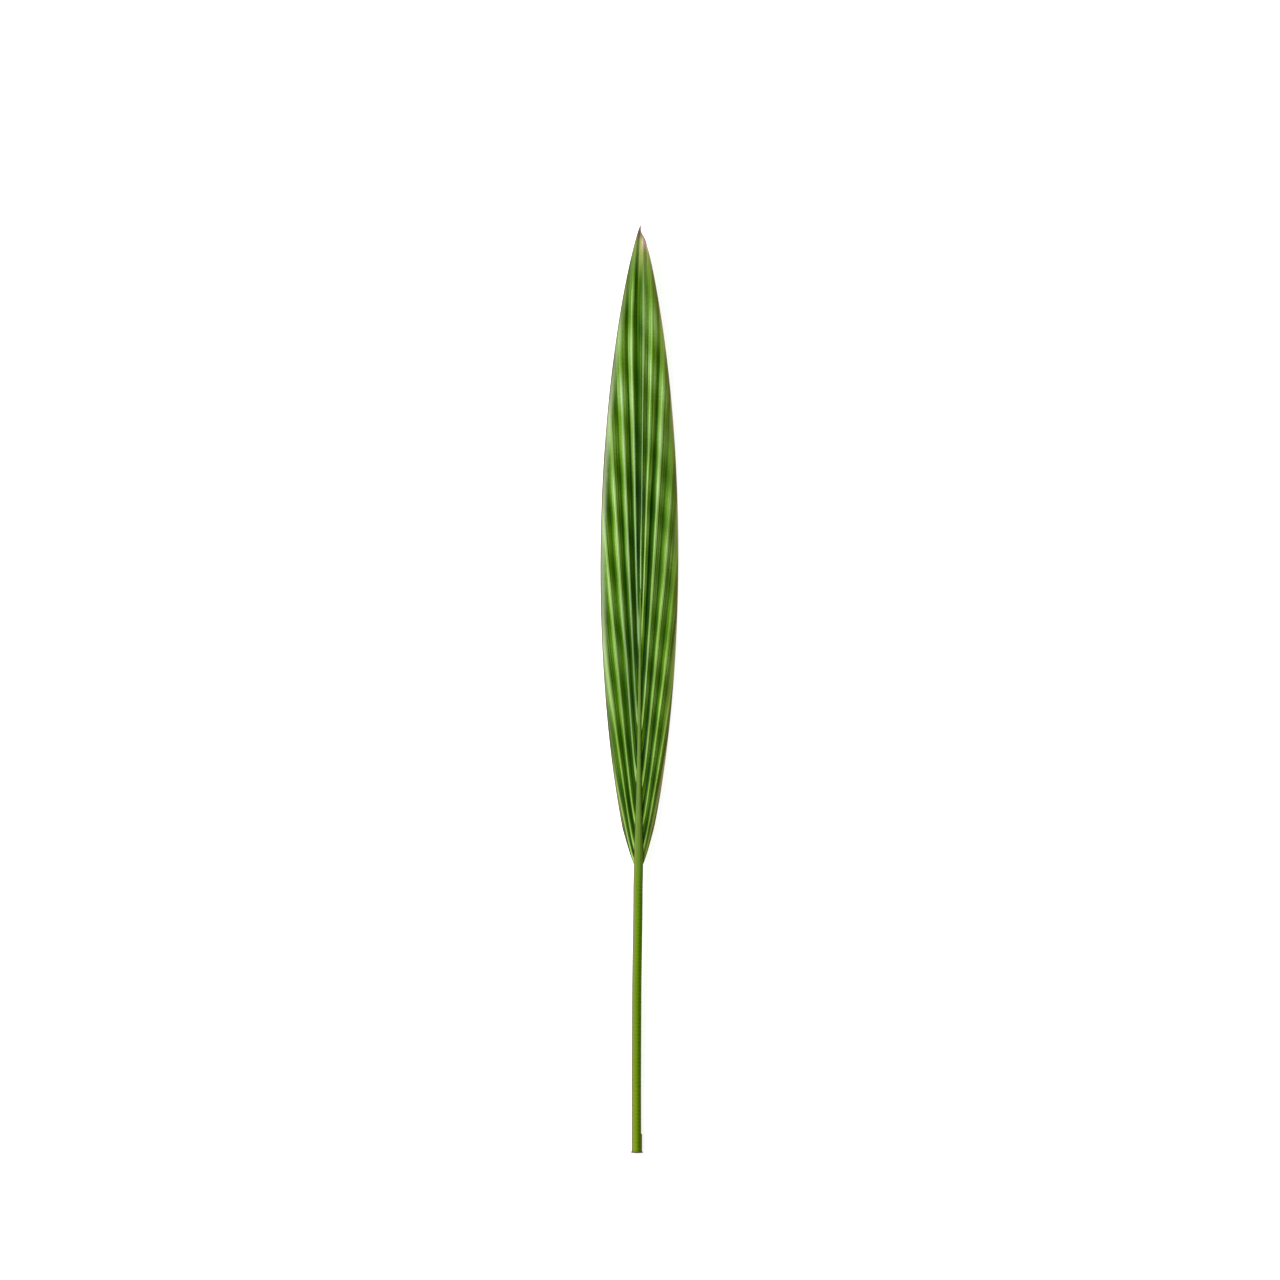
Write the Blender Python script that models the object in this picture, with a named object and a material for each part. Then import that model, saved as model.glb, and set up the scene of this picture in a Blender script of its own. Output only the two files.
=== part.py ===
"""A palm leaf cut to a spear: a pleated blade on its stalk, lying on a flat surface.

Run with: blender --background --python part.py

The leaf lies along Y with its stalk towards -Y and its point towards +Y, face up. Two solids are
made, in metres: the blade, one sheet in folds, and the petiole, the stalk that runs on into the
blade as a rib. The folds leave that rib one above the other and fan out, and the sheet is trimmed
along one smooth outline that cuts every fold at a low angle.

Along the leaf, positions are distances above the foot of the blade. Across the leaf, a fold number
q counts the folds from the middle: whole numbers are ridges, halves are valleys, and the left side
of the leaf has negative numbers.
"""

import math

import bmesh
import bpy

MM = 0.001
DEG = math.radians(1.0)

# Lengths of the leaf
BLADE_LENGTH = 352 * MM
PETIOLE_LENGTH = 157 * MM
FOOT_Y = (PETIOLE_LENGTH - BLADE_LENGTH) / 2

# Outline of the blade: a half width at the foot, and the bulge of the spear above it
FOOT_HALF_WIDTH = 3.0 * MM
BULGE_HALF_WIDTH = 19.9 * MM
OUTLINE_POWER = 0.825

# Stalk, and the rib that it becomes inside the blade
STALK_HALF_WIDTH = 2.6 * MM
STALK_HALF_HEIGHT = 2.3 * MM
STALK_SIDES = 14
RIB_END_HALF_WIDTH = 0.4 * MM
RIB_REACH = 176 * MM
RIB_TAPER_POWER = 1.4
RIB_TO_BLADE_GAP = 0.3 * MM
CUT_END_LEVEL_LENGTH = 15 * MM
STALK_STATIONS = 12
RIB_STATIONS = 14

# Folds: their angles to the rib, where they leave it, and how they curve
FOLDS_PER_SIDE = 6
MARGIN_FOLD = 6.8
LAST_FOLD = 7.0
FOLD_START_POWER = 2.45
LEFT_FOLD_ANGLE = 1.69 * DEG
RIGHT_FOLD_ANGLE = 2.03 * DEG
LEFT_SPREAD_FOLD = 8.5
RIGHT_SPREAD_FOLD = 12.7
SPREAD_POWER = 4
LEFT_BEND_LENGTH = 1200 * MM
RIGHT_BEND_LENGTH = 910 * MM
MIDDLE_OFFSET = 0.2 * MM
FAN_LEAN = 0.0031
GATHER_START = 275 * MM
GATHER_AMOUNT = 0.618
VALLEY = 0.5

# Relief of the sheet. Its depth is measured straight down, and leaves the flanks of the folds,
# which stand at up to 45 degrees, just over 0.6 mm thick.
SHEET_DEPTH = 0.92 * MM
PLEAT_RISE = 0.165
PLEAT_ONSET = 12 * MM
RIB_SHOULDER = 0.15
RIB_SHOULDER_LEVEL = 0.72
RIPPLE_HEIGHT = 0.22 * MM
RIPPLE_LENGTH = 76 * MM
RIPPLE_SLANT = 0.8
RIPPLE_ONSET = 30 * MM

# Lie of the leaf: it rests on its cut end and on the two low margins of the blade
REST_PLACE = 167 * MM
FOOT_LIFT = 3.0 * MM
TIP_LIFT = 6.0 * MM
SIDE_DROOP = 1.5 * MM

# Mesh rows, and the steps that find slopes and the margin
ROWS = 34
SLOPE_STEP = 0.05
MARCH_STEP = 2 * MM
HALVINGS = 30

# Colours
BLADE_COLOUR = (0.09, 0.19, 0.025, 1.0)
BLADE_ROUGHNESS = 0.42
PETIOLE_COLOUR = (0.132, 0.225, 0.02, 1.0)
PETIOLE_ROUGHNESS = 0.38


def clear_scene():
    """Remove every object that the scene starts with."""
    for thing in list(bpy.data.objects):
        bpy.data.objects.remove(thing, do_unlink=True)


def new_collection(name):
    """Return a new collection, linked to the scene."""
    collection = bpy.data.collections.new(name)
    bpy.context.scene.collection.children.link(collection)
    return collection


def plain_material(name, colour, roughness):
    """Return a Principled material of one colour."""
    material = bpy.data.materials.new(name)
    material.use_nodes = True
    shader = material.node_tree.nodes["Principled BSDF"]
    shader.inputs["Base Color"].default_value = colour
    shader.inputs["Roughness"].default_value = roughness
    shader.inputs["Metallic"].default_value = 0.0
    return material


def rib_half_width(along):
    """Half width of the rib at a distance above the foot, where the stalk has its full width."""
    left = 1 - min(max(along / RIB_REACH, 0.0), 1.0)
    return RIB_END_HALF_WIDTH + (STALK_HALF_WIDTH - RIB_END_HALF_WIDTH) * left ** RIB_TAPER_POWER


def fold_start(q):
    """Where fold q leaves the rib, as a distance above the foot."""
    return RIB_REACH * (1 - abs(q) / LAST_FOLD) ** FOLD_START_POWER


def rib_end():
    """Where the rib ends, between the two valleys next to the middle fold."""
    return fold_start(VALLEY)


def blade_start(q):
    """Return how far across and along the sheet starts on fold q, clear of the rib.

    Past the end of the rib the two sides of the sheet meet in a small arch round it.
    """
    if abs(q) >= VALLEY:
        along = fold_start(q)
        across = rib_half_width(along) + RIB_TO_BLADE_GAP
        return math.copysign(across, q), along
    reach = rib_half_width(rib_end()) + RIB_TO_BLADE_GAP
    turn = q / VALLEY * math.pi / 2
    return reach * math.sin(turn), rib_end() + reach * math.cos(turn)


def fold_spread(q, run):
    """Sideways spread of fold q at a distance from where it leaves the rib.

    The leaf fans out a little wider on its right side, and its outermost folds stand widest.
    """
    angle, spread_fold, bend = LEFT_FOLD_ANGLE, LEFT_SPREAD_FOLD, LEFT_BEND_LENGTH
    if q > 0:
        angle, spread_fold, bend = RIGHT_FOLD_ANGLE, RIGHT_SPREAD_FOLD, RIGHT_BEND_LENGTH
    turn = angle * q * (1 + (abs(q) / spread_fold) ** SPREAD_POWER)
    return math.tan(turn) * run * (1 - run / bend)


def fold_across(q, along):
    """How far fold q lies from the middle fold at a distance above the foot."""
    across, start = blade_start(q)
    across += fold_spread(q, along - start)
    gather = max(0.0, (along - GATHER_START) / (BLADE_LENGTH - GATHER_START))
    return across * (1 - GATHER_AMOUNT * gather ** 2)


def fold_pitch(q, along):
    """Distance from one ridge to the next round fold q, at a distance above the foot."""
    low = max(q - SLOPE_STEP, -MARGIN_FOLD)
    high = min(q + SLOPE_STEP, MARGIN_FOLD)
    return abs(fold_across(high, along) - fold_across(low, along)) / (high - low)


def middle_x(along):
    """Sideways place of the middle fold, which leans a little from the leaf's own axis."""
    return MIDDLE_OFFSET + FAN_LEAN * along


def outline_half_width(along):
    """Half width of the trimmed blade at a distance above the foot."""
    share = min(max(along / BLADE_LENGTH, 0.0), 1.0)
    bulge = BULGE_HALF_WIDTH * (4 * share * (1 - share)) ** OUTLINE_POWER
    return FOOT_HALF_WIDTH * (1 - share) + bulge


def past_margin(q, along):
    """Whether fold q has left the trimmed outline at a distance above the foot."""
    return abs(middle_x(along) + fold_across(q, along)) > outline_half_width(along)


def fold_end(q):
    """Where the outline cuts fold q, as a distance above the foot."""
    inside = blade_start(q)[1]
    outside = inside + MARCH_STEP
    while not past_margin(q, outside):
        inside = outside
        outside += MARCH_STEP
    for _ in range(HALVINGS):
        middle = (inside + outside) / 2
        if past_margin(q, middle):
            outside = middle
        else:
            inside = middle
    return inside


def pleat_level(q):
    """Level of the folded sheet between -1 in a valley and 1 on a ridge.

    Each ridge has a low crown as wide as its rib, and straight flanks fall from it to the valleys.
    """
    off = abs(q - round(q))
    if off <= RIB_SHOULDER:
        return 1 - (1 - RIB_SHOULDER_LEVEL) * off / RIB_SHOULDER
    fall = (off - RIB_SHOULDER) / (VALLEY - RIB_SHOULDER)
    return RIB_SHOULDER_LEVEL - (1 + RIB_SHOULDER_LEVEL) * fall


def axis_height(along):
    """Height of the leaf's middle over the level of its rest place."""
    if along < REST_PLACE:
        return FOOT_LIFT * (1 - along / REST_PLACE) ** 2
    return TIP_LIFT * ((along - REST_PLACE) / (BLADE_LENGTH - REST_PLACE)) ** 2


def sheet_height(q, along):
    """Height of the middle of the sheet on fold q, over the level of its rest place."""
    run = along - blade_start(q)[1]
    side = (middle_x(along) + fold_across(q, along)) / (FOOT_HALF_WIDTH + BULGE_HALF_WIDTH)
    pleat = PLEAT_RISE * fold_pitch(q, along) * (1 - math.exp(-run / PLEAT_ONSET)) * pleat_level(q)
    phase = (along - RIPPLE_SLANT * fold_across(q, along)) / RIPPLE_LENGTH
    ripple = RIPPLE_HEIGHT * math.sin(2 * math.pi * phase) * (1 - math.exp(-run / RIPPLE_ONSET))
    return axis_height(along) - SIDE_DROOP * side ** 2 + pleat + ripple


def fold_columns():
    """Return the fold numbers of the mesh columns, from the left margin to the right one."""
    columns = [-MARGIN_FOLD, -FOLDS_PER_SIDE - VALLEY]
    for ridge in range(-FOLDS_PER_SIDE, FOLDS_PER_SIDE + 1):
        columns += [ridge - RIB_SHOULDER, ridge, ridge + RIB_SHOULDER, ridge + VALLEY]
    return columns + [MARGIN_FOLD]


def blade_mesh():
    """Return the blade's mesh, with the middle of its sheet over the level of its rest place.

    A flat grid has a column for each fold line and rows from the rib to the margin. It is bent to
    the leaf, split into triangles, and given its depth straight down, so both faces have the same
    triangles.
    """
    columns = fold_columns()
    ends = [fold_end(q) for q in columns]
    shape = bmesh.new()
    bmesh.ops.create_grid(shape, x_segments=len(columns) - 1, y_segments=ROWS, size=1.0)
    for vertex in shape.verts:
        column = round((vertex.co.x + 1) / 2 * (len(columns) - 1))
        share = (vertex.co.y + 1) / 2
        q = columns[column]
        start = blade_start(q)[1]
        along = start + share * (ends[column] - start)
        x = middle_x(along) + fold_across(q, along)
        z = sheet_height(q, along) + SHEET_DEPTH / 2
        vertex.co = (x, FOOT_Y + along, z)
    bmesh.ops.triangulate(shape, faces=shape.faces, quad_method="BEAUTY")
    upper = list(shape.faces)
    lower = bmesh.ops.duplicate(shape, geom=upper + list(shape.edges) + list(shape.verts))["geom"]
    lower_verts = [item for item in lower if isinstance(item, bmesh.types.BMVert)]
    lower_faces = [item for item in lower if isinstance(item, bmesh.types.BMFace)]
    bmesh.ops.translate(shape, verts=lower_verts, vec=(0, 0, -SHEET_DEPTH))
    bmesh.ops.reverse_faces(shape, faces=lower_faces)
    rims = [edge for edge in shape.edges if edge.is_boundary]
    bmesh.ops.bridge_loops(shape, edges=rims)
    bmesh.ops.triangulate(shape, faces=[face for face in shape.faces if len(face.verts) > 3])
    bmesh.ops.recalc_face_normals(shape, faces=shape.faces)
    mesh = bpy.data.meshes.new("blade")
    shape.to_mesh(mesh)
    shape.free()
    return mesh


def add_blade(collection):
    """Add the blade, resting on the surface, and return how far it was raised to lie there."""
    mesh = blade_mesh()
    lift = -min(vertex.co.z for vertex in mesh.vertices)
    for vertex in mesh.vertices:
        vertex.co.z += lift
    mesh.materials.append(plain_material("leaf blade", BLADE_COLOUR, BLADE_ROUGHNESS))
    blade = bpy.data.objects.new("blade", mesh)
    collection.objects.link(blade)
    return lift


def stalk_section(collection):
    """Return the stalk's section: an oval with flat top and bottom sides, as a guide curve."""
    curve = bpy.data.curves.new("stalk section", "CURVE")
    curve.dimensions = "2D"
    spline = curve.splines.new("POLY")
    spline.points.add(STALK_SIDES - 1)
    for index, point in enumerate(spline.points):
        angle = -2 * math.pi * index / STALK_SIDES
        point.co = (STALK_HALF_WIDTH * math.cos(angle), STALK_HALF_HEIGHT * math.sin(angle), 0, 1)
    spline.use_cyclic_u = True
    section = bpy.data.objects.new("stalk section", curve)
    section.hide_render = True
    section.display_type = "WIRE"
    collection.objects.link(section)
    return section


def stalk_height(along, foot_height, end_height):
    """Height of the stalk's middle below the foot: level at the cut end, then a slow rise."""
    level_end = -PETIOLE_LENGTH + CUT_END_LEVEL_LENGTH
    if along <= level_end:
        return end_height
    span = -level_end
    share = (along - level_end) / span
    foot_slope = -2 * FOOT_LIFT / REST_PLACE * span
    rise = foot_height - end_height
    return end_height + rise * share ** 2 * (3 - 2 * share) + foot_slope * share ** 2 * (share - 1)


def stalk_stations(lift):
    """Return the stalk's stations from its cut end to the end of the rib: place and width share."""
    end_height = STALK_HALF_HEIGHT * math.cos(math.pi / STALK_SIDES)
    foot_height = axis_height(0) + lift
    stations = [(0.0, -PETIOLE_LENGTH, end_height, 1.0)]
    span = PETIOLE_LENGTH - CUT_END_LEVEL_LENGTH
    for index in range(STALK_STATIONS):
        along = -span + span * index / STALK_STATIONS
        stations.append((0.0, along, stalk_height(along, foot_height, end_height), 1.0))
    for index in range(RIB_STATIONS + 1):
        along = rib_end() * index / RIB_STATIONS
        width = rib_half_width(along) / STALK_HALF_WIDTH
        stations.append((middle_x(along), along, axis_height(along) + lift, width))
    return stations


def add_petiole(collection, guides, lift):
    """Add the petiole: the stalk and the rib, swept along the leaf as one curve."""
    curve = bpy.data.curves.new("petiole", "CURVE")
    curve.dimensions = "3D"
    curve.twist_mode = "Z_UP"
    curve.bevel_mode = "OBJECT"
    curve.bevel_object = stalk_section(guides)
    curve.use_fill_caps = True
    stations = stalk_stations(lift)
    spline = curve.splines.new("POLY")
    spline.points.add(len(stations) - 1)
    for point, (x, along, z, width) in zip(spline.points, stations):
        point.co = (x, FOOT_Y + along, z, 1)
        point.radius = width
    curve.materials.append(plain_material("leaf stalk", PETIOLE_COLOUR, PETIOLE_ROUGHNESS))
    petiole = bpy.data.objects.new("petiole", curve)
    collection.objects.link(petiole)


def main():
    """Model the leaf."""
    clear_scene()
    leaf = new_collection("palm spear")
    guides = new_collection("guides")
    lift = add_blade(leaf)
    add_petiole(leaf, guides, lift)


main()
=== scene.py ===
"""A cut palm leaf spear, dressed and laid on a pale table for a plain studio picture.

The leaf lies along Y, its stalk towards -Y and its point towards +Y, face up. Its blade is one
pleated sheet on a rib, and its petiole is the stalk that runs on into that rib. Both are modelled
again here from the leaf's own formulas, finer than the solids that they stand for.

Along the leaf, places are distances in millimetres above the foot of the blade. Across the leaf, a
fold number counts the folds from the middle: whole numbers are ridges, halves are valleys, and the
left side of the leaf has negative numbers.
"""

import logging
import math
from contextlib import contextmanager
from dataclasses import dataclass
from enum import Enum
from functools import lru_cache
from typing import Any, Iterator, NamedTuple

import bpy
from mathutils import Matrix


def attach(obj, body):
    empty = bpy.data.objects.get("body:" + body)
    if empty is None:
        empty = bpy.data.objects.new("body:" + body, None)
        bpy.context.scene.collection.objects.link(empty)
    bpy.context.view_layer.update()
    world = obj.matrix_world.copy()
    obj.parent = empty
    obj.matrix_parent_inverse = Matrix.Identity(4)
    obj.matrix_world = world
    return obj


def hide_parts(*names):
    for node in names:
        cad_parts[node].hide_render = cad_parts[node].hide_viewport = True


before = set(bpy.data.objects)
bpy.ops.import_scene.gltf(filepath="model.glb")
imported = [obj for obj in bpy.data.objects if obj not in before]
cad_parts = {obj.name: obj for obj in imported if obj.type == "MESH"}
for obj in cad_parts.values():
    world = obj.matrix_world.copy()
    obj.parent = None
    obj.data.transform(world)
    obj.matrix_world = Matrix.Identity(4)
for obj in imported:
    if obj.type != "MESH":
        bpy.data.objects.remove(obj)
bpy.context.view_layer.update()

MM = 0.001
TURN = 2 * math.pi
MAP_BORDER = 0.01
LOG = logging.getLogger("palm leaf")

Colour = tuple[float, float, float, float]
Stops = tuple[tuple[float, Colour], ...]
Pair = tuple[float, float]


class Side(Enum):
    """A half of the leaf."""

    LEFT = "left"
    RIGHT = "right"

    @staticmethod
    def of(across: float) -> "Side":
        """Return the side of a fold or of a place across. The middle counts as left."""
        return Side.RIGHT if across > 0 else Side.LEFT


class Slot(Enum):
    """The names of the record's finishes for the blade and the stalk."""

    BLADE = "leaf_blade"
    STALK = "leaf_stalk"


class FanHalf(NamedTuple):
    """How the folds of one half of the leaf spread from the rib.

    The angle turns each fold from the next, in radians. It grows steeply past the spread fold, and
    the folds bend back inwards over the bend length, in millimetres.
    """

    angle: float
    spread_fold: float
    bend_length: float


FAN = {
    Side.LEFT: FanHalf(math.radians(1.69), 8.5, 1200.0),
    Side.RIGHT: FanHalf(math.radians(2.03), 12.7, 910.0),
}


def clamp(number: float) -> float:
    """Return the number, held between 0 and 1."""
    return min(max(number, 0.0), 1.0)


def smooth_step(number: float, low: float, high: float) -> float:
    """Return 0 below low and 1 above high, with a smooth rise between them."""
    share = clamp((number - low) / (high - low))
    return share * share * (3 - 2 * share)


@dataclass(frozen=True)
class LeafPlan:
    """The leaf's own geometry, in millimetres: outline, rib, folds and the lie of the sheet."""

    blade_length: float = 352.0
    petiole_length: float = 157.0
    foot_half_width: float = 3.0
    bulge_half_width: float = 19.9
    outline_power: float = 0.825

    stalk_half_width: float = 2.6
    stalk_half_height: float = 2.3
    rib_end_half_width: float = 0.4
    rib_reach: float = 176.0
    rib_taper_power: float = 1.4
    rib_to_blade_gap: float = 0.3
    cut_end_level_length: float = 15.0
    cut_end_height: float = 2.242

    margin_fold: float = 6.8
    last_fold: float = 7.0
    fold_start_power: float = 2.45
    spread_power: int = 4
    middle_offset: float = 0.2
    fan_lean: float = 0.0031
    gather_start: float = 275.0
    gather_amount: float = 0.618
    valley: float = 0.5

    sheet_depth: float = 0.92
    pleat_rise: float = 0.165
    pleat_onset: float = 12.0
    crown_half_width: float = 0.15
    crown_level: float = 0.72
    ripple_height: float = 0.22
    ripple_length: float = 76.0
    ripple_slant: float = 0.8
    ripple_onset: float = 30.0

    rest_place: float = 167.0
    foot_lift: float = 3.0
    tip_lift: float = 6.63
    side_droop: float = 1.5

    notch_reach: float = 9.3
    notch_depth: float = 1.15
    point_reach: float = 3.6
    tuck: float = 0.5
    tuck_share: float = 0.2
    tuck_length: float = 5.0
    slope_step: float = 0.05
    march_step: float = 2.0
    halvings: int = 30

    @property
    def foot_y(self) -> float:
        """Place of the blade's foot along Y."""
        return (self.petiole_length - self.blade_length) / 2

    def rib_half_width(self, along: float) -> float:
        """Return the rib's half width, which shrinks to the rib's end."""
        left = (1 - clamp(along / self.rib_reach)) ** self.rib_taper_power
        return self.rib_end_half_width + (self.stalk_half_width - self.rib_end_half_width) * left

    def fold_start(self, fold: float) -> float:
        """Return where a fold leaves the rib."""
        return self.rib_reach * (1 - abs(fold) / self.last_fold) ** self.fold_start_power

    @property
    def rib_end(self) -> float:
        """Where the rib ends, between the two valleys next to the middle fold."""
        return self.fold_start(self.valley)

    @lru_cache(maxsize=None)
    def blade_start(self, fold: float) -> Pair:
        """Find where the sheet starts on a fold.

        Args:
            fold: The fold number.

        Returns:
            How far across and how far along the leaf the sheet starts.
        """
        if abs(fold) >= self.valley:
            along = self.fold_start(fold)
            return math.copysign(self.rib_half_width(along) + self.rib_to_blade_gap, fold), along
        reach = self.rib_half_width(self.rib_end) + self.rib_to_blade_gap
        turn = fold / self.valley * math.pi / 2
        return reach * math.sin(turn), self.rib_end + reach * math.cos(turn)

    def fold_across(self, fold: float, along: float) -> float:
        """Find how far a fold lies from the middle fold.

        Args:
            fold: The fold number.
            along: The place along the leaf.

        Returns:
            The distance across, negative on the left.
        """
        across, start = self.blade_start(fold)
        run = along - start
        half = FAN[Side.of(fold)]
        turn = half.angle * fold * (1 + (abs(fold) / half.spread_fold) ** self.spread_power)
        across += math.tan(turn) * run * (1 - run / half.bend_length)
        gather = max(0.0, (along - self.gather_start) / (self.blade_length - self.gather_start))
        return across * (1 - self.gather_amount * gather**2)

    def tucked(self, fold: float, along: float) -> float:
        """Find how far a fold lies from the middle fold, with the sheet's root drawn into the rib.

        Args:
            fold: The fold number.
            along: The place along the leaf.

        Returns:
            The distance across, negative on the left.
        """
        across, start = self.blade_start(fold)
        tuck = min(self.tuck + self.tuck_share * self.rib_half_width(start), abs(across))
        tuck *= math.exp(-(along - start) / self.tuck_length)
        return self.fold_across(fold, along) - math.copysign(tuck, fold)

    def fold_pitch(self, fold: float, along: float) -> float:
        """Find the distance from one ridge to the next.

        Args:
            fold: The fold number.
            along: The place along the leaf.

        Returns:
            The distance round this place.
        """
        low = max(fold - self.slope_step, -self.margin_fold)
        high = min(fold + self.slope_step, self.margin_fold)
        return abs(self.fold_across(high, along) - self.fold_across(low, along)) / (high - low)

    def middle_x(self, along: float) -> float:
        """Return the sideways place of the middle fold."""
        return self.middle_offset + self.fan_lean * along

    def margin(self, side: Side, along: float) -> float:
        """Find how far the trimmed edge lies from the leaf's axis.

        Args:
            side: The half of the leaf. The right one has a shoulder below the shrunken point.
            along: The place along the leaf.

        Returns:
            The distance, never negative.
        """
        share = clamp(along / self.blade_length)
        bulge = self.bulge_half_width * (4 * share * (1 - share)) ** self.outline_power
        half = self.foot_half_width * (1 - share) + bulge
        below = self.blade_length - along
        if side is Side.RIGHT and below < self.notch_reach:
            shrunk = smooth_step(below, 0.0, self.point_reach)
            back = 1 - smooth_step(below, self.point_reach, self.notch_reach)
            half -= self.notch_depth * shrunk * back
        return max(half, 0.0)

    def is_trimmed(self, fold: float, along: float) -> bool:
        """Return whether a fold has passed the trimmed edge."""
        x = self.middle_x(along) + self.fold_across(fold, along)
        return abs(x) > self.margin(Side.of(x), along)

    def fold_end(self, fold: float) -> float:
        """Find where the trimmed edge cuts a fold, first in steps and then by halving.

        Args:
            fold: The fold number.

        Returns:
            The place along the leaf.
        """
        low = self.blade_start(fold)[1]
        while not self.is_trimmed(fold, low + self.march_step):
            low += self.march_step
        high = low + self.march_step
        for _ in range(self.halvings):
            middle = (low + high) / 2
            if self.is_trimmed(fold, middle):
                high = middle
            else:
                low = middle
        return low

    def axis_height(self, along: float) -> float:
        """Find the height of the leaf's middle over the level of its rest place.

        Args:
            along: The place along the leaf.

        Returns:
            The height, which rises towards the foot and the point.
        """
        if along < self.rest_place:
            return self.foot_lift * (1 - along / self.rest_place) ** 2
        past = (along - self.rest_place) / (self.blade_length - self.rest_place)
        return self.tip_lift * past**2

    def stalk_height(self, along: float, lift: float) -> float:
        """Find the height of the stalk's middle, from its level cut end to the foot of the blade.

        Args:
            along: The place along the leaf, negative in the stalk.
            lift: How far the blade was raised to lie on the table.

        Returns:
            The height over the table.
        """
        span = self.petiole_length - self.cut_end_level_length
        share = max(1 + along / span, 0.0)
        foot_slope = -2 * self.foot_lift / self.rest_place * span
        rise = self.axis_height(0.0) + lift - self.cut_end_height
        rise = rise * share**2 * (3 - 2 * share) + foot_slope * share**2 * (share - 1)
        return self.cut_end_height + rise


class Value:
    """A number that varies over a surface: a shader socket that takes part in sums."""

    def __init__(self, bench: "Bench", socket: bpy.types.NodeSocket) -> None:
        """Wrap a socket of a bench's node tree."""
        self.bench = bench
        self.socket = socket

    def _math(self, operation: str, *numbers: "Value | float") -> "Value":
        """Return the result of a Math node for its inputs, in order."""
        node = self.bench.add("ShaderNodeMath", {"operation": operation}, dict(enumerate(numbers)))
        return Value(self.bench, node.outputs[0])

    def __add__(self, other: "Value | float") -> "Value":
        """Return the sum."""
        return self._math("ADD", self, other)

    __radd__ = __add__

    def __sub__(self, other: "Value | float") -> "Value":
        """Return the difference."""
        return self._math("SUBTRACT", self, other)

    def __rsub__(self, other: float) -> "Value":
        """Return the number less this value."""
        return self._math("SUBTRACT", other, self)

    def __mul__(self, other: "Value | float") -> "Value":
        """Return the product."""
        return self._math("MULTIPLY", self, other)

    __rmul__ = __mul__

    def __truediv__(self, other: "Value | float") -> "Value":
        """Return the quotient."""
        return self._math("DIVIDE", self, other)

    def __rtruediv__(self, other: float) -> "Value":
        """Return the number divided by this value."""
        return self._math("DIVIDE", other, self)

    def __neg__(self) -> "Value":
        """Return the value with its sign turned."""
        return self * -1.0

    def __abs__(self) -> "Value":
        """Return the size without its sign."""
        return self._math("ABSOLUTE", self)

    def floor(self) -> "Value":
        """Return the next whole number below."""
        return self._math("FLOOR", self)

    def sine(self) -> "Value":
        """Return the sine of an angle in radians."""
        return self._math("SINE", self)

    def bell(self) -> "Value":
        """Return 1 where the value is 0, falling to 0 on both sides in a bell curve."""
        return self._math("POWER", math.exp(-1.0), self * self)

    def plateau(self) -> "Value":
        """Return about 1 between -0.7 and 0.7, falling steeply to 0 beyond."""
        square = self * self
        return self._math("POWER", math.exp(-1.0), square * square)

    def larger(self, other: "Value | float") -> "Value":
        """Return the larger of the two."""
        return self._math("MAXIMUM", self, other)

    def held(self) -> "Value":
        """Return the value held between 0 and 1."""
        return self._math("MINIMUM", self.larger(0.0), 1.0)

    def rise(self, low: float, high: float) -> "Value":
        """Find a smooth step of this value.

        Args:
            low: Where the step starts.
            high: Where it ends. Below low, the step runs down instead of up.

        Returns:
            A value from 0 to 1.
        """
        ends = {"From Min": min(low, high), "From Max": max(low, high)}
        steps = {"To Min": float(high < low), "To Max": float(low < high)}
        settings = {"interpolation_type": "SMOOTHSTEP"}
        node = self.bench.add("ShaderNodeMapRange", settings, {"Value": self, **ends, **steps})
        return Value(self.bench, node.outputs[0])

    def within(self, start: float, full: float, last: float, end: float) -> "Value":
        """Return 1 from full to last, with smooth steps to 0 at start and at end."""
        return self.rise(start, full) * self.rise(end, last)


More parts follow.
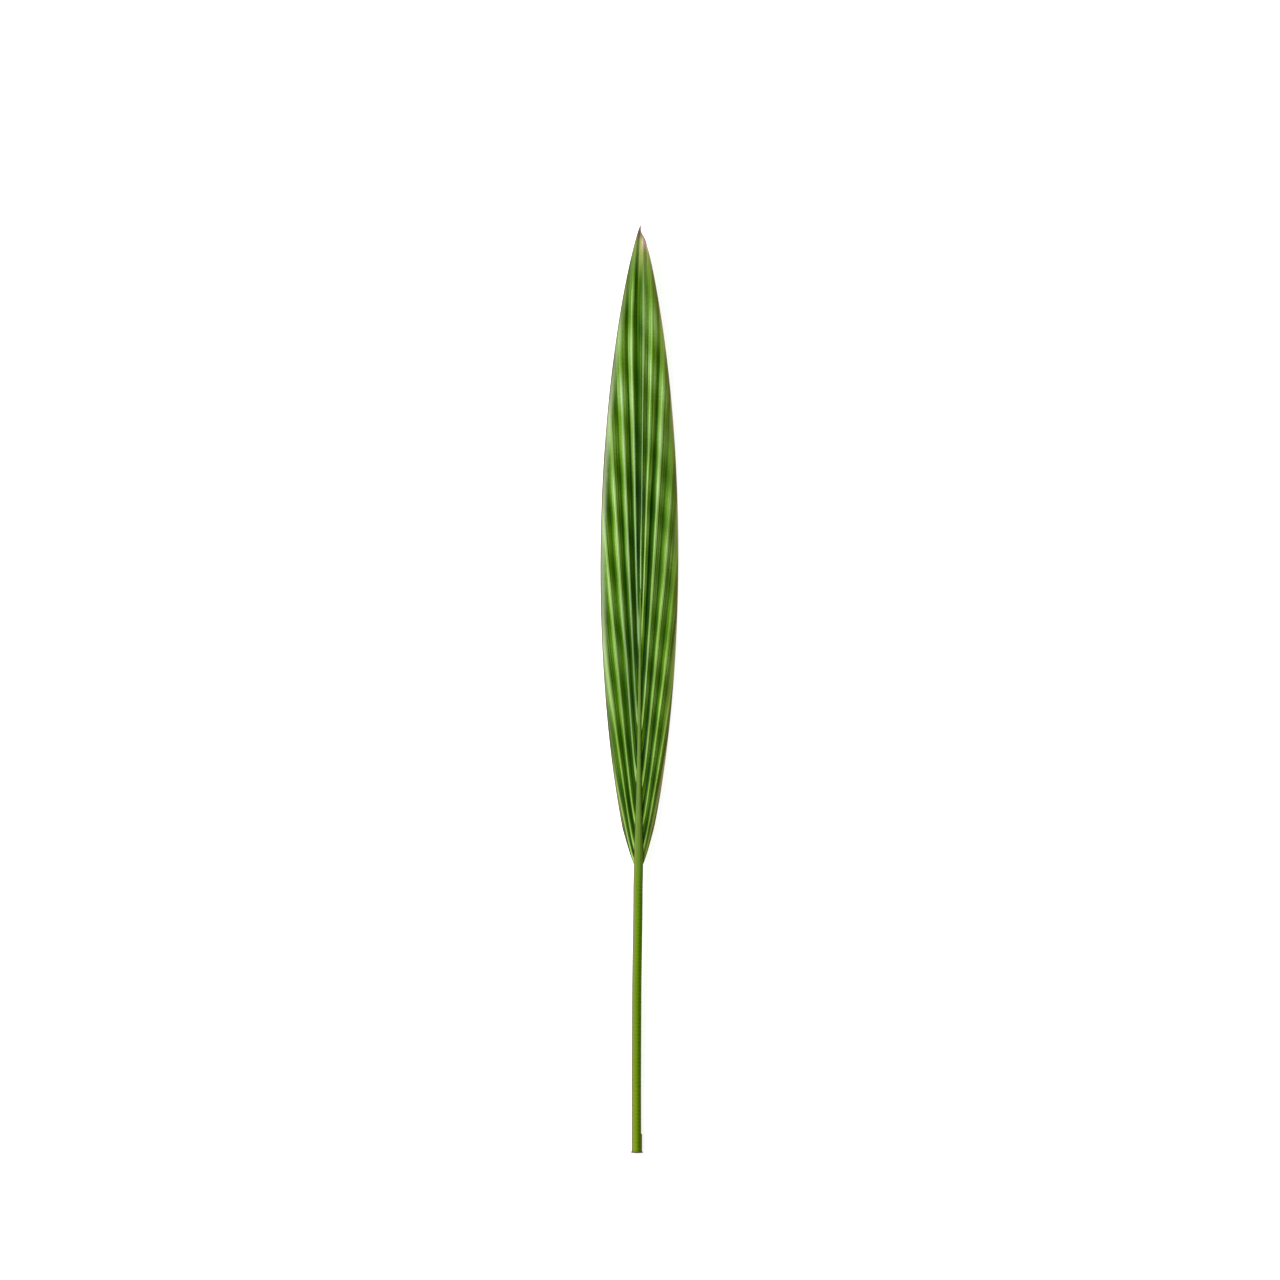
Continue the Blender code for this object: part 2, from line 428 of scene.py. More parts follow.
class Bench:
    """The bench where one finish is mixed: it adds nodes to a material and joins them."""

    MIX_FACTOR = 0
    MIX_FIRST = 6
    MIX_SECOND = 7
    MIX_RESULT = 2

    def __init__(self, name: str) -> None:
        """Start a new material with an empty Principled shader.

        Args:
            name: The material's name.
        """
        self.material = bpy.data.materials.new(name)
        self.material.use_nodes = True
        self.tree = self.material.node_tree
        self.shader = self.tree.nodes["Principled BSDF"]

    def add(
        self,
        kind: str,
        settings: dict[str, Any] | None = None,
        inputs: dict[str | int, Any] | None = None,
    ) -> bpy.types.Node:
        """Add a node.

        Args:
            kind: The node's type.
            settings: Its own settings, set first. "stops" are a ramp's places and colours.
            inputs: Values, sockets or plain numbers for its sockets, by name or number.

        Returns:
            The node.
        """
        node = self.tree.nodes.new(kind)
        for name, setting in (settings or {}).items():
            if name == "stops":
                self._set_stops(node.color_ramp.elements, setting)
            else:
                setattr(node, name, setting)
        for key, source in (inputs or {}).items():
            self.feed(node.inputs[key], source)
        return node

    def feed(self, socket: bpy.types.NodeSocket, source: Any) -> None:
        """Join a socket to its source, or set it.

        Args:
            socket: The socket that is fed.
            source: A value, a socket, or a plain number or colour.
        """
        if isinstance(source, Value):
            source = source.socket
        if isinstance(source, bpy.types.NodeSocket):
            self.tree.links.new(source, socket)
        else:
            socket.default_value = source

    @staticmethod
    def _set_stops(elements: bpy.types.ColorRampElements, stops: Stops) -> None:
        """Give a ramp its stops.

        Args:
            elements: The ramp's own stops, two at first.
            stops: Places and their colours, in order.
        """
        while len(elements) < len(stops):
            elements.new(1.0)
        for element, (place, colour) in zip(elements, stops):
            element.position = place
            element.color = colour

    def parts(self, vector: bpy.types.NodeSocket) -> Iterator[Value]:
        """Split a vector's socket into its three numbers."""
        node = self.add("ShaderNodeSeparateXYZ", None, {0: vector})
        return (Value(self, output) for output in node.outputs)

    def vector(self, name: str) -> Iterator[Value]:
        """Read a vector attribute of the piece, as its three numbers."""
        node = self.add("ShaderNodeAttribute", {"attribute_name": name})
        return self.parts(node.outputs["Vector"])

    def number(self, name: str) -> Value:
        """Read a number attribute of the piece."""
        node = self.add("ShaderNodeAttribute", {"attribute_name": name})
        return Value(self, node.outputs["Fac"])

    def object_place(self) -> Iterator[Value]:
        """Read a point's x, y and z in the leaf's frame, in millimetres."""
        place = self.add("ShaderNodeTexCoord").outputs["Object"]
        return (number / MM for number in self.parts(place))

    def noise(self, x: Value | float, y: Value | float, z: Value | float, detail: float) -> Value:
        """Make noise.

        Args:
            x: First coordinate, where 1 is about the size of a spot.
            y: Second coordinate.
            z: Third coordinate, or a plain number for another draw of the same noise.
            detail: How many finer layers it has.

        Returns:
            A value round 0, less than 0.5 to either side.
        """
        place = self.add("ShaderNodeCombineXYZ", None, {0: x, 1: y, 2: z})
        inputs = {"Vector": place.outputs[0], "Scale": 1.0, "Detail": detail}
        return Value(self, self.add("ShaderNodeTexNoise", None, inputs).outputs[0]) - 0.5

    def ramp(self, place: Value, stops: Stops) -> bpy.types.NodeSocket:
        """Look up a place in a row of stops and return the colour's socket."""
        return self.add("ShaderNodeValToRGB", {"stops": stops}, {0: place}).outputs[0]

    def paint(self, ground: Any, *coats: tuple[Value, Any]) -> bpy.types.NodeSocket:
        """Paint coats over a ground, one after another.

        Args:
            ground: The colour below, or its socket.
            coats: How much each coat covers, from 0 to 1, and its colour or socket.

        Returns:
            The colour's socket.
        """
        for share, colour in coats:
            inputs = {self.MIX_FACTOR: share, self.MIX_FIRST: ground, self.MIX_SECOND: colour}
            node = self.add("ShaderNodeMix", {"data_type": "RGBA"}, inputs)
            ground = node.outputs[self.MIX_RESULT]
        return ground

    def bump(self, height: Value, depth: float, strength: float) -> bpy.types.NodeSocket:
        """Turn a height, where 1 stands for a depth in millimetres, into a normal's socket."""
        inputs = {"Height": height, "Distance": depth * MM, "Strength": strength}
        return self.add("ShaderNodeBump", None, inputs).outputs[0]

    def dress(self, **sockets: Any) -> bpy.types.Material:
        """Set the Principled shader's sockets.

        Args:
            sockets: What each socket takes, by its name with _ for a space.

        Returns:
            The material.
        """
        for name, source in sockets.items():
            self.feed(self.shader.inputs[name.replace("_", " ")], source)
        return self.material


class Touch(NamedTuple):
    """A change to one ridge from full to last, with smooth steps to 0 at start and at end.

    The places that are left out lie beyond the foot or the point of the leaf.
    """

    ridge: float
    amount: float
    start: float = -20.0
    full: float = -10.0
    last: float = 400.0
    end: float = 410.0


class LeafPoint:
    """A point of the blade, as the values that its finish reads.

    The run is its distance from the start of its fold, and the phase goes from -0.5 to 0.5 across
    the fold and is 0 on the ridge. Shares from 0 to 1 say how much it belongs to the right or the
    left half, the middle fold or one beside it, the upper leaf, and the grown part of its fold.
    """

    def __init__(self, bench: Bench) -> None:
        """Read the point from the blade's attributes.

        Args:
            bench: The bench of the blade's finish.
        """
        self.bench = bench
        self.fold, self.along, self.edge = bench.vector(Blade.PLACE)
        self.run, self.pitch, _ = bench.vector(Blade.SHAPE)
        self.x, _, _ = bench.object_place()
        self.ridge = (self.fold + 0.5).floor()
        self.phase = self.fold - self.ridge

        self.right = self.fold.rise(-0.6, 0.6)
        self.left = 1 - self.right
        self.middle = abs(self.fold).rise(0.62, 0.30)
        self.beside = 1 - self.middle
        self.upper = self.along.rise(190.0, 330.0)
        self.grown = (self.run + abs(self.fold) * 2.5).rise(40.0, 170.0)

        self.streaks = self.grain(5.5, 0.010, 1.0, 2.0)
        self.fibres = self.grain(15.0, 0.014, 2.0, 3.0)
        self.veinlets = self.grain(3.0, 0.85, 5.0, 2.0)
        self.own = bench.noise(self.ridge * 3.71, self.along * 0.009, 7.0, 1.0)

    def grain(self, per_fold: float, per_mm: float, draw: float, detail: float) -> Value:
        """Return noise with so many spots to a fold and to a millimetre along the leaf."""
        return self.bench.noise(self.fold * per_fold, self.along * per_mm, draw, detail)

    def touched(self, touches: tuple[Touch, ...]) -> Value:
        """Add up changes to single ridges.

        Args:
            touches: The changes.

        Returns:
            Their sum at this point.
        """
        return sum(
            ((self.ridge - touch.ridge) * 2.0).bell() * self.along.within(*touch[2:]) * touch.amount
            for touch in touches
        )


@dataclass(frozen=True)
class BladeFinish:
    """The blade's green: pale ridges and flanks, dark valleys, browned margins and point."""

    # The pale ridges and flanks are partly the leaf's own colour and partly painted light and sheen
    # from the left, and the dark valleys are partly painted shade.
    name: str = "pleated leaf"
    # The bluish pale end of the cool greens is partly the leaf's own colour and partly painted sheen.
    cool_greens: Stops = (
        (0.00, (0.000, 0.006, 0.000, 1)),
        (0.05, (0.012, 0.062, 0.000, 1)),
        (0.11, (0.048, 0.134, 0.003, 1)),
        (0.21, (0.118, 0.250, 0.016, 1)),
        (0.35, (0.238, 0.394, 0.115, 1)),
        (0.60, (0.430, 0.640, 0.290, 1)),
    )
    warm_greens: Stops = (
        (0.00, (0.000, 0.006, 0.000, 1)),
        (0.05, (0.013, 0.064, 0.000, 1)),
        (0.11, (0.047, 0.137, 0.000, 1)),
        (0.21, (0.114, 0.254, 0.004, 1)),
        (0.35, (0.222, 0.410, 0.046, 1)),
        (0.60, (0.405, 0.680, 0.130, 1)),
    )
    # Pale of the left margin: painted light from the left.
    lit_margin_pale: Colour = (0.385, 0.470, 0.275, 1)
    # Olive of the right margin: partly browning, partly painted shade.
    margin_olive: Colour = (0.150, 0.180, 0.025, 1)
    # Bluish pale of the painted sheen on the bright flanks left of the middle.
    sheen_pale: Colour = (0.270, 0.430, 0.210, 1)
    cut_brown: Colour = (0.190, 0.145, 0.075, 1)
    point_brown: Colour = (0.190, 0.122, 0.088, 1)
    shoulder_pink: Colour = (0.620, 0.400, 0.340, 1)
    tip_yellow: Colour = (0.330, 0.370, 0.110, 1)
    under_green: Colour = (0.100, 0.180, 0.045, 1)
    under_pale: Colour = (0.280, 0.380, 0.170, 1)

    least_tone: float = 0.004
    valley_tone: float = 0.031
    outer_tone: float = 0.084
    upper_tone: float = 0.085
    left_flank_tone: float = 0.20
    right_flank_tone: float = 0.165
    ridge_tone: float = 0.30
    top_tone: float = 0.20
    ridge_left_width: float = 0.13
    ridge_right_width: float = 0.10
    ridge_least_width: float = 0.33
    twin_tone: float = 0.05
    twin_place: float = 0.25
    twin_width: float = 0.045
    groove_width: float = 0.03
    veins_per_fold: int = 5
    vein_sway: float = 0.12
    band_length: float = 29.45
    band_first: float = 57.7
    band_slant: float = 1.2
    band_sway: float = 0.35
    band_depth: float = 0.26
    leaning: tuple[Touch, ...] = (
        Touch(1.0, 0.15, last=200.0, end=240.0),
        Touch(3.0, -0.08, start=130.0, full=165.0),
        Touch(-3.0, -0.06, last=110.0, end=135.0),
    )
    line_strength: tuple[Touch, ...] = (
        Touch(-1.0, 0.68, 130.0, 190.0, 220.0, 270.0),
        Touch(-3.0, 0.66, 50.0, 80.0, 110.0, 150.0),
        Touch(3.0, -0.25, start=160.0, full=200.0),
    )
    roughness: float = 0.38
    shine: float = 0.04
    fibre_depth: float = 0.22

    def banding(self, point: LeafPoint) -> Value:
        """Find the light and dark bands that cross the leaf.

        Args:
            point: The point of the blade.

        Returns:
            What they multiply its lightness by.
        """
        wave = (point.along + point.x * self.band_slant - self.band_first) / self.band_length
        wave += point.grain(0.7, 0.02, 11.0, 1.0) * self.band_sway
        depth = (point.grain(0.45, 0.022, 21.0, 1.0) + 0.5) * (2 * self.band_depth)
        return 1 - (wave * TURN + TURN / 4).sine() * depth

    def valleys(self, point: LeafPoint) -> Value:
        """Find the lightness of the valleys, to which the flanks and ridges add theirs.

        It grows away from the middle and up the leaf. The valleys' darkness is partly painted shade,
        and the left foot of a fold lies in painted shade. The valley and the flank to the left of
        the middle ridge are darker in the upper leaf.

        Args:
            point: The point of the blade.

        Returns:
            The lightness.
        """
        outer = abs(point.x).rise(3.0, 16.0)
        # Painted shade at the left foot of each fold.
        shaded_foot = point.phase.rise(-0.25, -0.36)
        beside_middle = ((point.fold + 0.60) * 3.5).bell() * point.along.rise(140.0, 170.0)
        middle_flank = point.middle * point.phase.rise(0.05, -0.12) * point.upper
        tone = self.valley_tone + outer * self.outer_tone + point.streaks * 0.06
        tone += point.upper * self.upper_tone * (1.4 - abs(point.phase) * 0.8)
        tone *= (1.15 - shaded_foot * 0.40) * (1 - beside_middle * 0.5)
        return tone * (1 - middle_flank * 0.45)

    def lean(self, point: LeafPoint) -> Value:
        """Shift the phase to where the light meets it, because the folds lean to one side.

        In the upper leaf the light meets them further left, and the middle one further right.

        Args:
            point: The point of the blade.

        Returns:
            The shifted phase.
        """
        along = point.along
        outer_lean = along.rise(225.0, 290.0) * point.beside
        left_lean = (along.rise(295.0, 325.0) * 2.0 - along.rise(170.0, 90.0)) * point.left
        middle_lean = (along.rise(170.0, 200.0) + along.rise(250.0, 310.0) * 1.3) * point.middle
        lean = point.phase + outer_lean * 0.09 + left_lean * 0.05 - middle_lean * 0.06
        return lean + point.touched(self.leaning)

    def flanks(self, point: LeafPoint, lean: Value, banding: Value) -> Value:
        """Find how much lighter the flanks of the folds are than the valleys.

        The left ones face the light and are lighter partly by their paler green and partly by painted
        light and sheen. They widen up the leaf, and are faint where a fold has just left the rib, near
        the right margin, on the upper left and on the middle fold. The right ones are stronger on the
        right half and up the leaf, and weaker next to the rib, where painted shade lies.

        Args:
            point: The point of the blade.
            lean: Its shifted phase.
            banding: Its share of the bands across the leaf.

        Returns:
            The lightness that they add.
        """
        # Painted light and sheen on the left flanks, which face the light, over their paler green.
        narrow, wide = lean.rise(-0.36, -0.08), lean.rise(-0.37, -0.24)
        widened = point.along.rise(195.0, 265.0) * point.beside
        right_margin = point.right * point.edge.rise(11.0, 3.0)
        upper_left = point.left * point.upper * (0.2 + point.edge.rise(9.0, 3.0) * 0.5)
        left = (narrow + (wide - narrow) * widened) * lean.rise(0.08, -0.06)
        left *= (0.20 + point.grown * 0.80) * (1 - right_margin * 0.75) * (1 - upper_left)
        left *= (1 + point.own * 0.6) * (1 - point.middle * 0.95)

        # Painted shade next to the rib weakens the right flanks there.
        off_rib = point.run.rise(0.0, 30.0)
        beside_middle = ((point.fold + 0.66) * 4.0).bell() * point.upper.larger(0.5)
        right = lean.within(0.12, 0.24, 0.40, 0.53) * (0.6 + off_rib * 0.4)
        right *= (0.45 + point.right * 0.45 + point.upper * 0.4) * (1 + point.own * 0.8)
        right *= 1 - beside_middle * 0.9
        left *= self.left_flank_tone * (0.55 + banding * 0.45)
        return left + right * self.right_flank_tone * banding

    def lines(self, point: LeafPoint, lean: Value, veins: Value, banding: Value) -> Value:
        """Find the narrow light line along each ridge.

        The line is partly the rib's paler colour and partly a painted highlight. It is strongest at
        the foot of the blade and fades upwards and towards the margins, except on the middle ridge,
        whose line is thinner halfway up and strong again near the point.

        Args:
            point: The point of the blade.
            lean: Its shifted phase.
            veins: The waves of the veins there, from -1 to 1.
            banding: Its share of the bands across the leaf.

        Returns:
            The line's strength, 0 beside it.
        """
        along, right, middle, beside = point.along, point.right, point.middle, point.beside
        centre = lean - 0.04 + right * beside * 0.02
        least = self.ridge_least_width / point.pitch
        thin = 1 - middle * along.within(150.0, 200.0, 250.0, 300.0) * 0.45
        line = (centre.larger(0.0) / (least.larger(self.ridge_right_width) * thin)).plateau()
        line *= ((-centre).larger(0.0) / (least.larger(self.ridge_left_width) * thin)).plateau()

        margin = point.edge.rise(8.0, 1.5) * along.rise(70.0, 140.0)
        middle_top = middle * (along.rise(150.0, 200.0) * 0.35 + along.rise(250.0, 300.0))
        right_root = right * point.run.rise(22.0, 4.0)
        left_foot = point.left * along.rise(75.0, 45.0)
        line *= 1.42 + along.rise(90.0, 20.0) * 0.35 - along.rise(150.0, 310.0) * 0.92
        line *= 1 - margin * (0.35 + right * 0.35)
        line *= 1 + middle * 0.2 - right * beside * (0.14 + point.upper * 0.14)
        line *= (1 + middle_top) * (1 - right_root * 0.15) * (1 + left_foot * 0.15)
        line *= 1 + point.touched(self.line_strength)
        grain = point.own * 0.3 + point.fibres * 0.8 + veins * 0.25
        return line * (1 + grain + (banding - 1.0) * 0.35)

    def tone(self, point: LeafPoint) -> Value:
        """Work out how light the leaf's colour is, with painted light and shade in it.

        To the folds it adds the paler twin veins on their flanks, painted shade in the groove beside
        each ridge, darker and paler rims, and the evener green of the top. The paler left rim is
        painted light, and the darker right rim painted shade.

        Args:
            point: The point of the blade.

        Returns:
            The lightness, from 0 to about 0.6.
        """
        fold, along, phase, edge = point.fold, point.along, point.phase, point.edge
        lean = self.lean(point)
        banding = self.banding(point)
        veins = ((fold + point.streaks * self.vein_sway) * (TURN * self.veins_per_fold)).sine()
        grain = point.streaks * 0.9 + point.fibres * 1.3 + point.veinlets * 0.35 + veins * 0.28
        tone = self.valleys(point) * banding + self.flanks(point, lean, banding)
        tone = tone * (1 + grain) + self.lines(point, lean, veins, banding) * self.ridge_tone

        kept = point.grain(1.9, 0.008, 31.0, 0.0).rise(-0.08, 0.12)
        twin = ((abs(phase) - self.twin_place) / self.twin_width).bell() * kept * point.beside
        # Painted shade in the groove beside each ridge.
        groove = ((lean + 0.12 - point.right * 0.11) / self.groove_width).bell()
        groove *= along.rise(90.0, 130.0) * point.beside
        left_rim = point.left * along.rise(110.0, 150.0) * edge.rise(7.0, 2.5)
        # Painted light on the left rim.
        painted_light_rim = point.left * along.within(50.0, 90.0, 130.0, 190.0) * edge.rise(4.0, 1.0)
        # Painted shade on the right rim.
        painted_shade_rim = point.right * edge.rise(4.0, 0.5)
        top = along.rise(305.0, 338.0)
        dark_valley = ((fold + 0.80) * 8.0).bell() * along.rise(295.0, 315.0)
        pale_valleys = ((abs(fold + 0.02) - 0.46) * 6.0).bell() * along.rise(258.0, 300.0)
        tone += twin * self.twin_tone * (0.4 + point.grown * 0.6)
        tone *= (1 - groove * 0.28) * (1 - left_rim * 0.25)
        tone += painted_light_rim * (0.1 + phase.rise(-0.1, 0.2)) * 0.12
        tone += top * (self.top_tone - tone) * 0.5
        tone *= 1 - dark_valley * 0.65
        tone += pale_valleys * 0.07
        return (tone * (1 - painted_shade_rim * 0.48)).larger(self.least_tone)

    def margins(self, point: LeafPoint, green: bpy.types.NodeSocket) -> bpy.types.NodeSocket:
        """Pale and brown the trimmed margins and the dry point.

        Args:
            point: The point of the blade.
            green: The colour away from the margins.

        Returns:
            The colour's socket.
        """
        fold, along = point.fold, point.along
        ragged = point.grain(6.0, 0.25, 4.0, 2.0) * 0.8
        edge = point.edge + ragged
        left = fold.rise(0.2, -0.2)
        # The left margin's pale is painted light, lifted most on the flanks that turn away from the
        # light.
        pale = left * (0.15 + along.within(60.0, 150.0, 240.0, 330.0) * 0.85)
        pale *= 0.52 + point.phase.rise(-0.25, 0.15) * 0.30
        browned = (point.edge + ragged * 0.4 - along.rise(90.0, 10.0) * 0.35).rise(0.85, 0.25)
        yellow = along.rise(320.0, 342.0) * abs(fold + 0.05).rise(1.0, 0.4)
        shoulder = (along + ragged * 3.0).rise(336.0, 343.0) * fold.rise(-0.35, 0.0)
        return point.bench.paint(
            green,
            (edge.rise(3.8, 1.2) * pale, self.lit_margin_pale),
            # The right margin's olive is partly browning and partly painted shade.
            (edge.rise(4.5, 0.4) * (1 - left) * 0.60, self.margin_olive),
            (browned, self.cut_brown),
            (yellow * 0.75, self.tip_yellow),
            (shoulder * 0.85, self.shoulder_pink),
            ((along + ragged * 2.0).rise(342.5, 347.5), self.point_brown),
        )

    def underside(self, point: LeafPoint) -> bpy.types.NodeSocket:
        """Return the colour of the lower face, where the valleys stand out as pale ribs."""
        return point.bench.paint(
            self.under_green,
            (abs(point.phase).rise(0.40, 0.49) * 0.7, self.under_pale),
            ((point.grain(11.0, 0.012, 9.0, 3.0) * 1.4 + 0.25).held(), self.under_pale),
            (point.edge.rise(0.8, 0.2), self.cut_brown),
        )

    def make(self) -> bpy.types.Material:
        """Mix the finish.

        Returns:
            The material.
        """
        bench = Bench(self.name)
        point = LeafPoint(bench)
        under = bench.number(Blade.UNDER)
        tone = self.tone(point)
        outer = abs(point.x).rise(3.0, 12.0) * point.along.rise(260.0, 60.0)
        # On the right flanks and beside the rib on the right, the warmer greens are the hue of painted
        # shade.
        right_flanks = point.phase.rise(0.05, 0.22)
        foot = point.along.rise(110.0, 20.0)
        right_root = point.fold.rise(0.0, 0.6) * point.run.rise(30.0, 5.0)
        warmth = outer.larger(right_flanks * 0.8).larger(foot).larger(right_root * 0.5)
        # Painted sheen: a bluish pale reflection on the bright flanks left of the middle.
        painted_sheen = point.fold.rise(-0.3, -0.8) * point.run.rise(150.0, 40.0) * tone.rise(0.12, 0.30)
        green = bench.paint(
            bench.ramp(tone, self.cool_greens),
            (warmth * 0.9 + 0.05, bench.ramp(tone, self.warm_greens)),
            (painted_sheen * point.along.rise(60.0, 130.0) * 0.55, self.sheen_pale),
        )
        down = point.grain(18.0, 0.03, 13.0, 2.0)
        relief = down * 0.6 + point.veinlets * 0.4
        return bench.dress(
            Base_Color=bench.paint(self.margins(point, green), (under, self.underside(point))),
            Roughness=(self.roughness + down * 0.3 + under * 0.2).held(),
            Specular_IOR_Level=self.shine,
            Normal=bench.bump(relief, self.fibre_depth, 0.5),
        )


@dataclass(frozen=True)
class StalkFinish:
    """The stalk's yellow-green, tanned on its left side, with fine fibres along it."""

    # The darker olive of the right side is partly painted shade, and the darkening along the rib's
    # sides, where it meets the folds, is painted shade.
    name: str = "leaf stalk"
    middle_green: Colour = (0.131, 0.288, 0.005, 1)
    left_tan: Colour = (0.212, 0.190, 0.066, 1)
    right_olive: Colour = (0.070, 0.125, 0.000, 1)
    edge_brown: Colour = (0.170, 0.140, 0.055, 1)
    rim_dark: Colour = (0.078, 0.070, 0.018, 1)
    rib_green: Colour = (0.120, 0.235, 0.030, 1)
    rib_pale: Colour = (0.290, 0.420, 0.125, 1)
    # Painted shade along the rib's sides.
    rib_shade: Colour = (0.030, 0.085, 0.002, 1)
    end_yellow: Colour = (0.235, 0.350, 0.008, 1)
    sliver_brown: Colour = (0.135, 0.100, 0.045, 1)
    hoop_length: float = 2.2
    roughness: float = 0.38
    shine: float = 0.01
    fibre_depth: float = 0.20

    def make(self) -> bpy.types.Material:
        """Mix the finish.

        Returns:
            The material.
        """
        bench = Bench(self.name)
        side, up, along = bench.vector(Petiole.PLACE)
        dry = bench.number(Petiole.DRY)
        strand = bench.noise(side * 5.0, up * 5.0, along * 0.006, 3.0)
        thread = bench.noise(side * 22.0, up * 22.0, along * 0.02, 2.0)
        blotch = bench.noise(side * 0.7, up * 0.7, along * 0.05, 2.0)
        lines = bench.noise(side * 6.5, 3.0, along * 0.004, 2.0) * along.rise(-15.0, 30.0) * 4.5

        stalk_only = along.rise(40.0, -20.0) * 0.7 + 0.3
        tan = (side + strand * 0.6).rise(-0.22, -0.82) * stalk_only
        # Darker olive on the right side: partly painted shade.
        olive = (side + strand * 0.5).rise(0.0, 0.55) * (0.70 - along.rise(-25.0, 15.0) * 0.45)
        rims = (abs(side) + strand * 0.15).rise(0.80, 0.93) * stalk_only
        left_rim = (side + strand * 0.10).rise(-0.86, -0.95) * stalk_only
        # Painted shade along the rib's sides, where the rib meets the folds.
        crease_shade = (abs(side) + strand * 0.4).rise(0.62, 0.95) * along.rise(5.0, 60.0)
        hoops = (along * (TURN / self.hoop_length) + blotch * 5.0).sine().held()
        hoops *= side.rise(-0.4, 0.5) * along.rise(0.0, -12.0)
        colour = bench.paint(
            self.middle_green,
            (along.rise(-40.0, 40.0), self.rib_green),
            ((along.rise(-70.0, -150.0) * (0.55 + blotch * 0.8)).held(), self.end_yellow),
            (tan * 0.88, self.left_tan),
            (olive, self.right_olive),
            (rims * 0.75, self.edge_brown),
            (left_rim * 0.90, self.rim_dark),
            ((lines - 0.12).held(), self.rib_pale),
            ((-lines).held(), self.right_olive),
            (crease_shade * (0.85 - side.rise(0.0, 0.5) * 0.35), self.rib_shade),
            ((strand * 1.6).held() * (0.45 - side.rise(0.0, 0.6) * 0.35), self.left_tan),
            ((thread * -2.2).held() * 0.45, self.right_olive),
            (hoops * 0.45, self.right_olive),
            (dry, self.sliver_brown),
        )
        return bench.dress(
            Base_Color=colour,
            Roughness=(self.roughness + strand * 0.3 + dry * 0.3).held(),
            Specular_IOR_Level=self.shine,
            Normal=bench.bump(thread * 0.7 + strand * 0.6, self.fibre_depth, 0.5),
        )


@dataclass(frozen=True)
class CutEndFinish:
    """The cut end of the stalk: pale pith with the ends of its fibres, browned at the rim."""

    name: str = "cut stalk end"
    pith: Colour = (0.520, 0.520, 0.260, 1)
    fibre: Colour = (0.300, 0.260, 0.110, 1)
    rim: Colour = (0.150, 0.105, 0.055, 1)
    fibre_size: float = 0.32
    fibre_depth: float = 0.20

    def make(self) -> bpy.types.Material:
        """Mix the finish.

        Returns:
            The material.
        """
        bench = Bench(self.name)
        side, up, _ = bench.vector(Petiole.PLACE)
        x, _, z = bench.object_place()
        place = bench.add("ShaderNodeCombineXYZ", None, {0: x, 1: z})
        inputs = {"Vector": place.outputs[0], "Scale": 1 / self.fibre_size}
        cells = bench.add("ShaderNodeTexVoronoi", {"feature": "F1"}, inputs)
        dot = Value(bench, cells.outputs["Distance"]).rise(0.42, 0.18)
        rim = (side * side + up * up).rise(0.72, 1.0)
        return bench.dress(
            Base_Color=bench.paint(self.pith, (dot * 0.8, self.fibre), (rim, self.rim)),
            Roughness=0.75,
            Specular_IOR_Level=0.3,
            Normal=bench.bump(dot, self.fibre_depth, 0.6),
        )


@dataclass(frozen=True)
class TableFinish:
    """The pale table, which gives off a little light of its own, so that shadows stay faint."""

    name: str = "pale table"
    colour: Colour = (0.92, 0.92, 0.92, 1)
    glow: float = 0.72

    def make(self) -> bpy.types.Material:
        """Return the material."""
        return Bench(self.name).dress(
            Base_Color=self.colour,
            Roughness=0.9,
            Specular_IOR_Level=0.0,
            Emission_Color=(1, 1, 1, 1),
            Emission_Strength=self.glow,
        )


def start_piece(name: str) -> bpy.types.Object:
    """Name the active object, which an operator has just added.

    Args:
        name: Its name.

    Returns:
        The object.
    """
    piece = bpy.context.object
    piece.name = piece.data.name = name
    return piece


@contextmanager
def editing(selection: str | None = None) -> Iterator[None]:
    """Keep the active mesh in edit mode for as long as the block runs.

    Args:
        selection: SELECT or DESELECT, to start with all of the mesh or with nothing of it.

    Returns:
        What a with statement takes.
    """
    bpy.ops.object.mode_set(mode="EDIT")
    if selection:
        bpy.ops.mesh.select_all(action=selection)
    try:
        yield
    finally:
        bpy.ops.object.mode_set(mode="OBJECT")


def set_point_attribute(mesh: bpy.types.Mesh, name: str, kind: str, numbers: list[float]) -> None:
    """Store numbers on a mesh's points as FLOAT, or as FLOAT_VECTOR with three to a point."""
    attribute = mesh.attributes.new(name, kind, "POINT")
    attribute.data.foreach_set("vector" if kind == "FLOAT_VECTOR" else "value", numbers)


def map_place(share: float) -> float:
    """Return a place between the left and the right border of a map."""
    return MAP_BORDER + (1 - 2 * MAP_BORDER) * share


def lay_out(mesh: bpy.types.Mesh, corners: Iterator[list[Pair]]) -> None:
    """Give a mesh a new map named OFBake, in place of its primitive's own.

    Args:
        mesh: The mesh.
        corners: Where the corners of each face lie on the map, face by face.
    """
    while mesh.uv_layers:
        mesh.uv_layers.remove(mesh.uv_layers[0])
    layer = mesh.uv_layers.new(name="OFBake")
    for face, spots in zip(mesh.polygons, corners):
        for loop, spot in zip(face.loop_indices, spots):
            layer.data[loop].uv = spot


